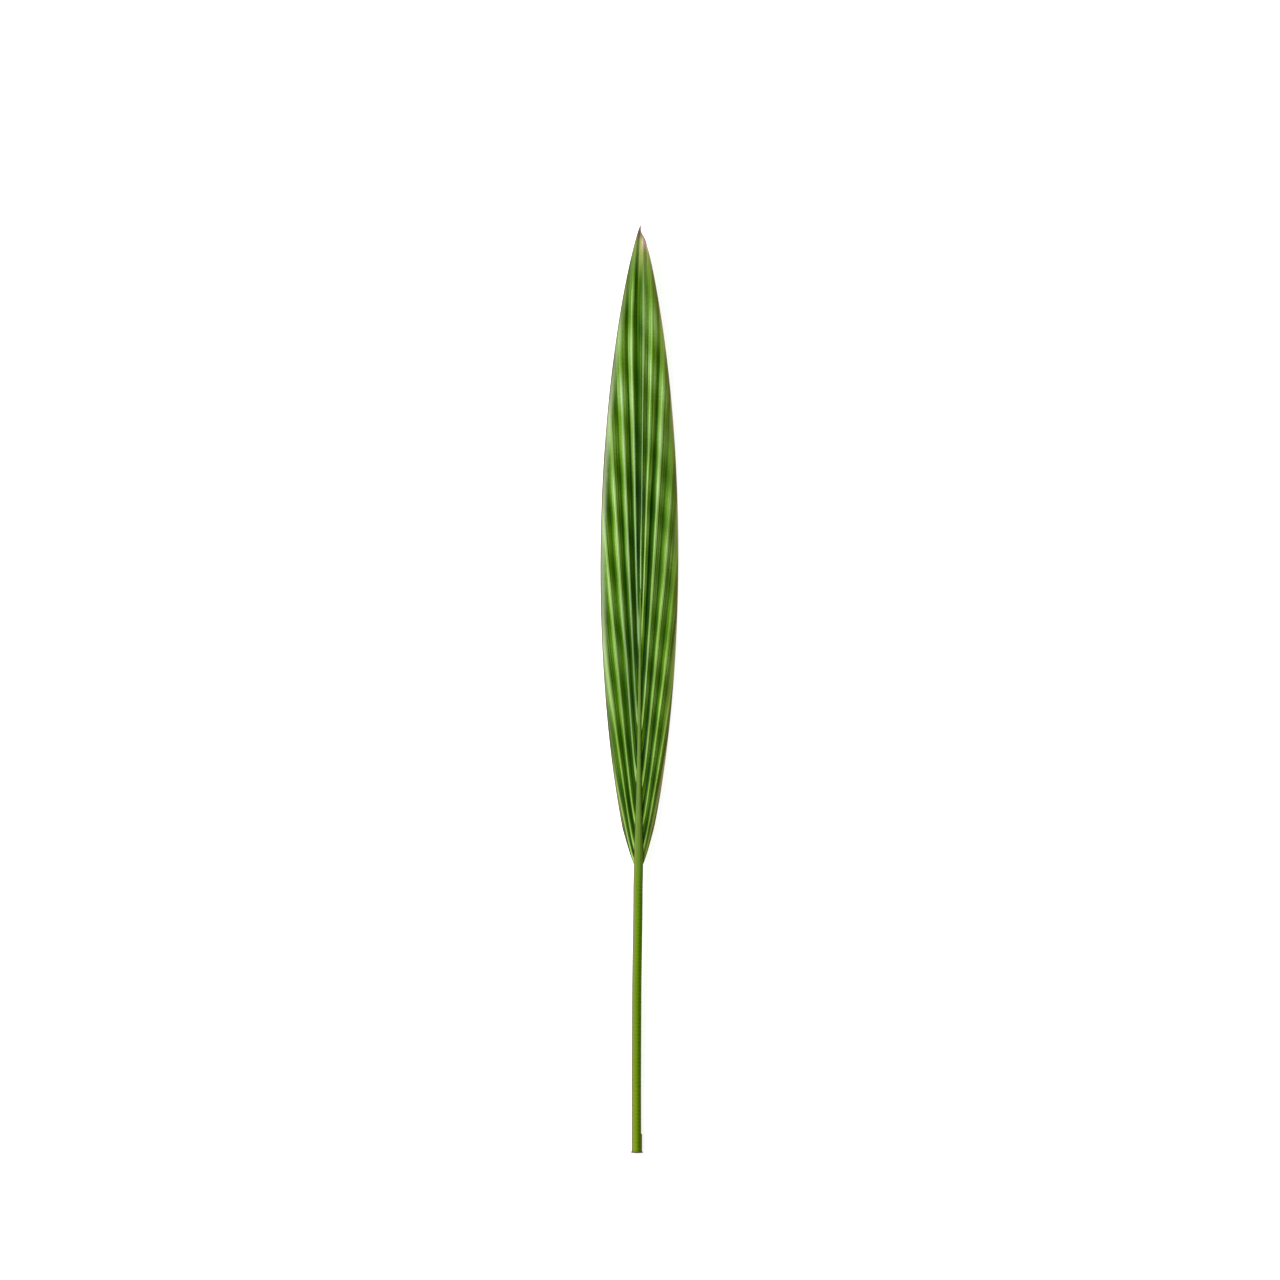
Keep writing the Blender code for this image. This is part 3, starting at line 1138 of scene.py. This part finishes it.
@dataclass
class Blade:
    """The pleated blade, one sheet from the rib to its trimmed edge."""

    plan: LeafPlan
    finish: BladeFinish
    rows: int = 190
    ridge_columns: tuple[float, ...] = (0.03, 0.06, 0.10, 0.16, 0.25, 0.35, 0.44)
    margin_columns: tuple[float, ...] = (6.56, 6.62, 6.70)
    edge_depth: float = 0.45
    edge_reach: float = 3.0
    inner_depth: float = 0.62
    thin_at_top_from: float = 220.0
    thin_at_top_to: float = 310.0
    ridge_height: float = 0.14
    ridge_width: float = 0.24
    flat_margin: float = 6.0
    flat_from: float = 60.0
    flat_to: float = 150.0
    flat_left: float = 0.6
    flat_right: float = 0.3
    smooth_angle: float = math.radians(50)
    face_span: float = 0.46
    face_gap: float = 0.06
    rim_start: float = 0.482
    rim_step: float = 0.01
    rim_span: float = 0.006
    rim_share: float = 0.001

    PLACE = "leaf_place"
    SHAPE = "fold_shape"
    UNDER = "underside"

    def columns(self) -> list[float]:
        """List the fold numbers of the mesh columns.

        Returns:
            The numbers from left to right, closest together at the ridges.
        """
        steps = [-step for step in reversed(self.ridge_columns)] + [0.0, *self.ridge_columns]
        last = int(self.plan.margin_fold)
        inner = [
            ridge + step for ridge in range(-last, last + 1) for step in [*steps, self.plan.valley]
        ]
        outermost = [*self.margin_columns, self.plan.margin_fold]
        return [-fold for fold in reversed(outermost)] + [-last - self.plan.valley] + inner + outermost

    def pleat_level(self, fold: float) -> float:
        """Find the level of the folded sheet.

        Args:
            fold: The fold number.

        Returns:
            The level, from -1 in a valley to 1 on a ridge.
        """
        plan = self.plan
        off = abs(fold - round(fold))
        if off <= plan.crown_half_width:
            return 1 - (1 - plan.crown_level) * off / plan.crown_half_width
        fall = (off - plan.crown_half_width) / (plan.valley - plan.crown_half_width)
        return plan.crown_level - (1 + plan.crown_level) * fall

    def height(self, fold: float, along: float, edge: float) -> float:
        """Find the height of the sheet's upper face over the level of the rest place.

        Args:
            fold: The fold number.
            along: The place along the leaf.
            edge: The distance to the trimmed edge. The folds are flatter next to it.

        Returns:
            The height in millimetres.
        """
        plan = self.plan
        run = along - plan.blade_start(fold)[1]
        across = plan.fold_across(fold, along)
        side = (plan.middle_x(along) + across) / (plan.foot_half_width + plan.bulge_half_width)
        pitch = plan.fold_pitch(fold, along)
        onset = 1 - math.exp(-run / plan.pleat_onset)
        flat = self.flat_right if Side.of(fold) is Side.RIGHT else self.flat_left
        flat *= 1 - smooth_step(edge, 0.0, self.flat_margin)
        onset *= 1 - flat * smooth_step(along, self.flat_from, self.flat_to)
        pleat = plan.pleat_rise * pitch * onset * self.pleat_level(fold)
        phase = (along - plan.ripple_slant * across) / plan.ripple_length
        ripple = plan.ripple_height * math.sin(TURN * phase)
        ripple *= 1 - math.exp(-run / plan.ripple_onset)
        from_ridge = abs(fold - round(fold)) * pitch / self.ridge_width
        ridge = self.ridge_height * onset * (math.exp(-(from_ridge**2)) - 1)
        droop = plan.side_droop * side**2
        return plan.axis_height(along) - droop + pleat + ripple + ridge + plan.sheet_depth / 2

    def thinned(self, along: float, edge: float) -> Pair:
        """Find how much of the solid's depth the sheet leaves out.

        Args:
            along: The place along the leaf.
            edge: The distance to the trimmed edge.

        Returns:
            How far the upper face lies lower, and how far the lower face lies higher.
        """
        inward = smooth_step(edge, 0.0, self.edge_reach)
        depth = self.edge_depth + (self.inner_depth - self.edge_depth) * inward
        spare = self.plan.sheet_depth - depth
        share = smooth_step(along, self.thin_at_top_from, self.thin_at_top_to)
        return spare * (1 - share), spare * share

    def bend(self, mesh: bpy.types.Mesh) -> None:
        """Bend a flat grid, with a column for each fold line and rows from rib to margin.

        Args:
            mesh: The grid, 2 metres wide and long.
        """
        plan = self.plan
        columns = self.columns()
        starts = [plan.blade_start(fold)[1] for fold in columns]
        ends = [plan.fold_end(fold) for fold in columns]
        places: list[float] = []
        shapes: list[float] = []
        for vertex in mesh.vertices:
            column = round((vertex.co.x + 1) / 2 * (len(columns) - 1))
            share = (vertex.co.y + 1) / 2
            fold = columns[column]
            along = starts[column] + share * (ends[column] - starts[column])
            x = plan.middle_x(along) + plan.tucked(fold, along)
            edge = max(plan.margin(Side.of(x), along) - abs(x), 0.0)
            vertex.co = (x, plan.foot_y + along, self.height(fold, along, edge))
            vertex.co *= MM
            places += [fold, along, edge]
            shapes += [along - starts[column], plan.fold_pitch(fold, along), share]
        set_point_attribute(mesh, self.PLACE, "FLOAT_VECTOR", places)
        set_point_attribute(mesh, self.SHAPE, "FLOAT_VECTOR", shapes)

    def build(self) -> tuple[bpy.types.Object, float]:
        """Model the blade from a flat grid, bent to the leaf and extruded down.

        Returns:
            The blade, and how far it was raised to lie on the table.
        """
        bpy.ops.object.select_all(action="DESELECT")
        bpy.ops.mesh.primitive_grid_add(
            x_subdivisions=len(self.columns()) - 1, y_subdivisions=self.rows - 1, size=2.0
        )
        blade = start_piece("palm_blade")
        mesh = blade.data
        self.bend(mesh)
        with editing("SELECT"):
            down = {"value": (0.0, 0.0, -self.plan.sheet_depth * MM)}
            bpy.ops.mesh.extrude_region_move(TRANSFORM_OT_translate=down)
        under = [float(vertex.select) for vertex in mesh.vertices]
        set_point_attribute(mesh, self.UNDER, "FLOAT", under)
        lowest = min(vertex.co.z for vertex in mesh.vertices)
        for vertex, below, place in zip(mesh.vertices, under, mesh.attributes[self.PLACE].data):
            lower, higher = self.thinned(place.vector[1], place.vector[2])
            vertex.co.z += (higher if below else -lower) * MM - lowest
        with editing("SELECT"):
            bpy.ops.mesh.normals_make_consistent(inside=False)
        bpy.ops.object.shade_smooth_by_angle(angle=self.smooth_angle)
        mesh.materials.append(self.finish.make())
        lay_out(mesh, self.map_faces(mesh))
        return blade, -lowest / MM

    def map_faces(self, mesh: bpy.types.Mesh) -> Iterator[list[Pair]]:
        """Plan the blade's map: both faces side by side, and the four rims in strips between them.

        Args:
            mesh: The blade's mesh, with its attributes.

        Returns:
            The places of the corners, face by face.
        """
        reach = self.plan.margin_fold
        places = [tuple(place.vector) for place in mesh.attributes[self.PLACE].data]
        points = [
            ((fold + reach) / (2 * reach), along / self.plan.blade_length, shape.vector[2], low.value)
            for (fold, along, _), shape, low in zip(
                places, mesh.attributes[self.SHAPE].data, mesh.attributes[self.UNDER].data
            )
        ]
        for face in mesh.polygons:
            folds, alongs, shares, lows = zip(*(points[index] for index in face.vertices))
            if max(lows) == 0 or min(lows) == 1:
                side = 1 if lows[0] else -1
                start = 0.5 + side * self.face_gap / 2
                levels = [start + side * self.face_span * fold for fold in folds]
                runs = alongs
            else:
                rims = (
                    (max(shares) < self.rim_share, folds),
                    (min(shares) > 1 - self.rim_share, folds),
                    (max(folds) < self.rim_share, shares),
                    (min(folds) > 1 - self.rim_share, shares),
                )
                strip, runs = next((n, runs) for n, (here, runs) in enumerate(rims) if here)
                start = self.rim_start + self.rim_step * strip
                levels = [start + self.rim_span * low for low in lows]
            yield [(map_place(run), level) for run, level in zip(runs, levels)]


@dataclass
class Petiole:
    """The stalk, and the rib that it runs on into between the folds."""

    plan: LeafPlan
    finish: StalkFinish
    end_finish: CutEndFinish
    lift: float
    sides: int = 56
    rings: int = 100
    end_rings: int = 28
    end_reach: float = 12.0
    thread_reach: float = 24.0
    thread_half_width: float = 0.14
    rib_slimming: float = 0.2
    slimming_reach: float = 60.0
    lean_reach: float = 12.0
    bow: float = 0.48
    bow_reach: Pair = (15.0, 75.0)
    bow_back: float = 0.4
    bow_back_reach: Pair = (110.0, 155.0)
    sliver_length: float = 10.5
    sliver_rise: float = 0.5
    sliver_half_angle: float = math.radians(34)
    sliver_side: float = 0.12
    sliver_tip: float = 0.4
    lip_length: float = 1.1
    lip_rise: float = 0.60
    lip_raggedness: float = 0.4
    end_loops: tuple[Pair, ...] = ((0.93, 0.0), (0.86, 0.12), (0.5, 0.2))
    first_inset: float = 0.01
    smooth_angle: float = math.radians(35)
    skin_span: float = 0.86
    disc_radius: float = 0.04
    disc_level: float = 0.94
    cut_disc: float = 0.05
    thread_disc: float = 0.15

    PLACE = "stalk_place"
    DRY = "dryness"

    @property
    def length(self) -> float:
        """Whole length, from the cut end to the end of the thread."""
        return self.plan.petiole_length + self.plan.rib_end + self.thread_reach

    def centre(self, along: float) -> tuple[float, float, float]:
        """Find the stalk's middle and width at a place along the leaf.

        Args:
            along: The place along the leaf, negative in the stalk.

        Returns:
            Its sideways place, its height over the table, and its half width.
        """
        plan = self.plan
        if along < 0:
            bow = smooth_step(-along, *self.bow_reach)
            bow -= smooth_step(-along, *self.bow_back_reach) * self.bow_back
            lean = plan.middle_offset * smooth_step(along, -self.lean_reach, 0.0)
            return lean - self.bow * bow, plan.stalk_height(along, self.lift), plan.stalk_half_width
        width = plan.rib_half_width(along)
        width *= 1 - self.rib_slimming * smooth_step(along, 0.0, self.slimming_reach)
        past = clamp((along - plan.rib_end) / self.thread_reach)
        width += (self.thread_half_width - width) * past
        return plan.middle_x(along), plan.axis_height(along) + self.lift, width

    def ring_place(self, share: float) -> float:
        """Find where a ring of the cylinder comes to lie. They are closer together at the cut end.

        Args:
            share: The ring's place in the cylinder, from 0 at the cut end to 1.

        Returns:
            The place along the leaf.
        """
        close = self.end_rings / (self.rings + 1)
        from_end = share / close * self.end_reach
        if share >= close:
            past = (share - close) / (1 - close)
            from_end = self.end_reach + past * (self.length - self.end_reach)
        return from_end - self.plan.petiole_length

    def flare(self, turn: float, along: float) -> Pair:
        """Find how far the skin stands out near the cut end, and how dry it is there.

        Args:
            turn: The angle round the stalk, from its right side.
            along: The place along the leaf.

        Returns:
            The rise in millimetres, and the dryness from 0 to 1.
        """
        from_end = along + self.plan.petiole_length
        off = abs(math.remainder(turn, TURN))
        sliver = smooth_step(self.sliver_half_angle - off, 0.0, self.sliver_side)
        sliver *= smooth_step(self.sliver_length - from_end, 0.0, self.sliver_tip)
        ragged = 0.5 - 0.5 * math.sin(turn * 9.0) * math.sin(turn * 4.0 + 1.0)
        lip = smooth_step(self.lip_length - from_end, 0.0, self.lip_length)
        lip *= 1 - self.lip_raggedness * ragged
        dry = smooth_step(self.lip_length - from_end, 0.0, self.lip_length / 2)
        return self.sliver_rise * sliver + self.lip_rise * lip, max(sliver, dry)

    def build(self) -> bpy.types.Object:
        """Model the petiole from a cylinder, cut into rings and drawn out along the leaf.

        Returns:
            The petiole.
        """
        plan = self.plan
        bpy.ops.object.select_all(action="DESELECT")
        bpy.ops.mesh.primitive_cylinder_add(
            vertices=self.sides, radius=1.0, depth=2.0, end_fill_type="NGON"
        )
        petiole = start_piece("palm_petiole")
        mesh = petiole.data
        with editing("DESELECT"):
            bpy.ops.mesh.select_mode(type="EDGE")
        for edge in mesh.edges:
            first, last = (mesh.vertices[index].co.z for index in edge.vertices)
            edge.select = abs(first - last) > 1.0
        with editing():
            bpy.ops.mesh.subdivide(number_cuts=self.rings)

        places: list[float] = []
        dryness: list[float] = []
        for vertex in mesh.vertices:
            turn = math.atan2(vertex.co.y, vertex.co.x)
            along = self.ring_place((1 - vertex.co.z) / 2)
            x, z, width = self.centre(along)
            rise, dry = self.flare(turn, along)
            tall = width * plan.stalk_half_height / plan.stalk_half_width
            side, up = math.cos(turn), math.sin(turn)
            vertex.co = (x + (width + rise) * side, plan.foot_y + along, max(z + tall * up, 0.0))
            vertex.co *= MM
            places += [side, up, along]
            dryness.append(dry)
        set_point_attribute(mesh, self.PLACE, "FLOAT_VECTOR", places)
        set_point_attribute(mesh, self.DRY, "FLOAT", dryness)
        self._finish_cut_end(mesh)
        bpy.ops.object.shade_smooth_by_angle(angle=self.smooth_angle)
        lay_out(mesh, self.map_faces(mesh))
        return petiole

    def _finish_cut_end(self, mesh: bpy.types.Mesh) -> None:
        """Inset the cut end, sink its pith a little, and dress the whole piece.

        Args:
            mesh: The piece's mesh, with its two end faces still flat.
        """
        plan = self.plan
        mesh.materials.append(self.finish.make())
        mesh.materials.append(self.end_finish.make())
        end_x = self.centre(-plan.petiole_length)[0]
        end_y = plan.foot_y - plan.petiole_length
        with editing("SELECT"):
            bpy.ops.mesh.normals_make_consistent(inside=False)
            bpy.ops.mesh.select_mode(type="FACE")
            bpy.ops.mesh.select_all(action="DESELECT")
        for face in mesh.polygons:
            face.select = len(face.vertices) > 4 and abs(face.center.y - end_y * MM) < MM
            face.material_index = int(face.select)
        for size, depth in self.end_loops:
            with editing():
                bpy.ops.mesh.inset(thickness=self.first_inset * MM, depth=0.0)
            place = mesh.attributes[self.PLACE].data
            for vertex in mesh.vertices:
                if vertex.select:
                    side, up, _ = place[vertex.index].vector
                    across = end_x + plan.stalk_half_width * size * side
                    height = plan.cut_end_height + plan.stalk_half_height * size * up
                    vertex.co = (across, end_y + depth, max(height, 0.0))
                    vertex.co *= MM
                    place[vertex.index].vector = (side * size, up * size, 0.0)

    def map_faces(self, mesh: bpy.types.Mesh) -> Iterator[list[Pair]]:
        """Plan the petiole's map: its skin unrolled, and its two ends as discs beside it.

        Args:
            mesh: The petiole's mesh, with its attribute.

        Returns:
            The places of the corners, face by face.
        """
        points = [tuple(place.vector) for place in mesh.attributes[self.PLACE].data]
        for face in mesh.polygons:
            sides, ups, alongs = zip(*(points[index] for index in face.vertices))
            if face.material_index or len(sides) > 4:
                place, turned = (self.cut_disc, 1) if face.material_index else (self.thread_disc, -1)
                runs = [place + turned * self.disc_radius * side for side in sides]
                levels = [self.disc_level + self.disc_radius * up for up in ups]
            else:
                turns = [math.atan2(-side, up) / TURN + 0.5 for side, up in zip(sides, ups)]
                if max(turns) - min(turns) > 0.5:
                    turns = [turn + 1 if turn < 0.5 else turn for turn in turns]
                from_end = [along + self.plan.petiole_length for along in alongs]
                runs = [map_place(place / self.length) for place in from_end]
                levels = [MAP_BORDER + self.skin_span * turn for turn in turns]
            yield list(zip(runs, levels))


@dataclass
class Studio:
    """The table, the soft light and the camera straight above the leaf, all in metres."""

    table_finish: TableFinish
    table_size: float = 12.0
    table_level: float = -0.0003
    photo_pixels: int = 1280
    pixel_size: float = 0.00055
    view_centre: Pair = (0.00055, 0.0271)
    camera_roll: float = math.radians(0.23)
    lens: float = 100.0
    sensor: float = 36.0
    sky_strength: float = 0.32
    key_power: float = 17.0
    key_place: tuple[float, float, float] = (-0.78, 0.34, 0.84)
    key_size: float = 0.6

    def add_table(self) -> None:
        """Add the table top."""
        bpy.ops.object.select_all(action="DESELECT")
        bpy.ops.mesh.primitive_plane_add(size=self.table_size, location=(0, 0, self.table_level))
        table = start_piece("table")
        bpy.ops.object.transform_apply(location=True)
        table.data.materials.append(self.table_finish.make())

    def add_light(self) -> None:
        """Add the sky and one large lamp at the upper left."""
        world = bpy.data.worlds.new("soft sky")
        world.use_nodes = True
        sky = world.node_tree.nodes["Background"]
        sky.inputs["Color"].default_value = (1.0, 1.0, 1.0, 1.0)
        sky.inputs["Strength"].default_value = self.sky_strength
        bpy.context.scene.world = world
        bpy.ops.object.light_add(type="AREA", location=self.key_place)
        lamp = bpy.context.object
        lamp.name = "key lamp"
        lamp.data.shape = "DISK"
        lamp.data.size = self.key_size
        lamp.data.energy = self.key_power
        lamp.rotation_euler = (-lamp.location).to_track_quat("-Z", "Y").to_euler()

    def add_camera(self) -> None:
        """Add the camera over the leaf, turned as little as the leaf leans in the picture."""
        reach = self.photo_pixels * self.pixel_size * self.lens / self.sensor
        place = (*self.view_centre, reach)
        bpy.ops.object.camera_add(location=place, rotation=(0, 0, self.camera_roll))
        camera = bpy.context.object
        camera.data.lens = self.lens
        camera.data.sensor_width = self.sensor
        bpy.context.scene.camera = camera

    def build(self) -> None:
        """Set up the whole studio."""
        self.add_camera()
        self.add_light()
        self.add_table()
        bpy.context.scene.view_settings.view_transform = "Standard"


def count_triangles(piece: bpy.types.Object) -> int:
    """Return how many triangles a piece's mesh has."""
    return sum(len(face.vertices) - 2 for face in piece.data.polygons)


def place_piece(piece: bpy.types.Object, node: str, slot: Slot) -> None:
    """Put a finished piece in the frame.

    Args:
        piece: The piece.
        node: The node of the frame that it stands for.
        slot: The record's finish meant for it. It is not used.
    """
    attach(piece, "root")
    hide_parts(node)
    LOG.info("%s: %d triangles, stands for %s", piece.name, count_triangles(piece), node)


def main() -> None:
    """Build the leaf and its studio."""
    logging.basicConfig(level=logging.INFO, format="%(name)s: %(message)s")
    plan = LeafPlan()
    Studio(TableFinish()).build()
    blade, lift = Blade(plan, BladeFinish()).build()
    place_piece(blade, "blade", Slot.BLADE)
    petiole = Petiole(plan, StalkFinish(), CutEndFinish(), lift).build()
    place_piece(petiole, "petiole", Slot.STALK)


if __name__ == "__main__":
    main()
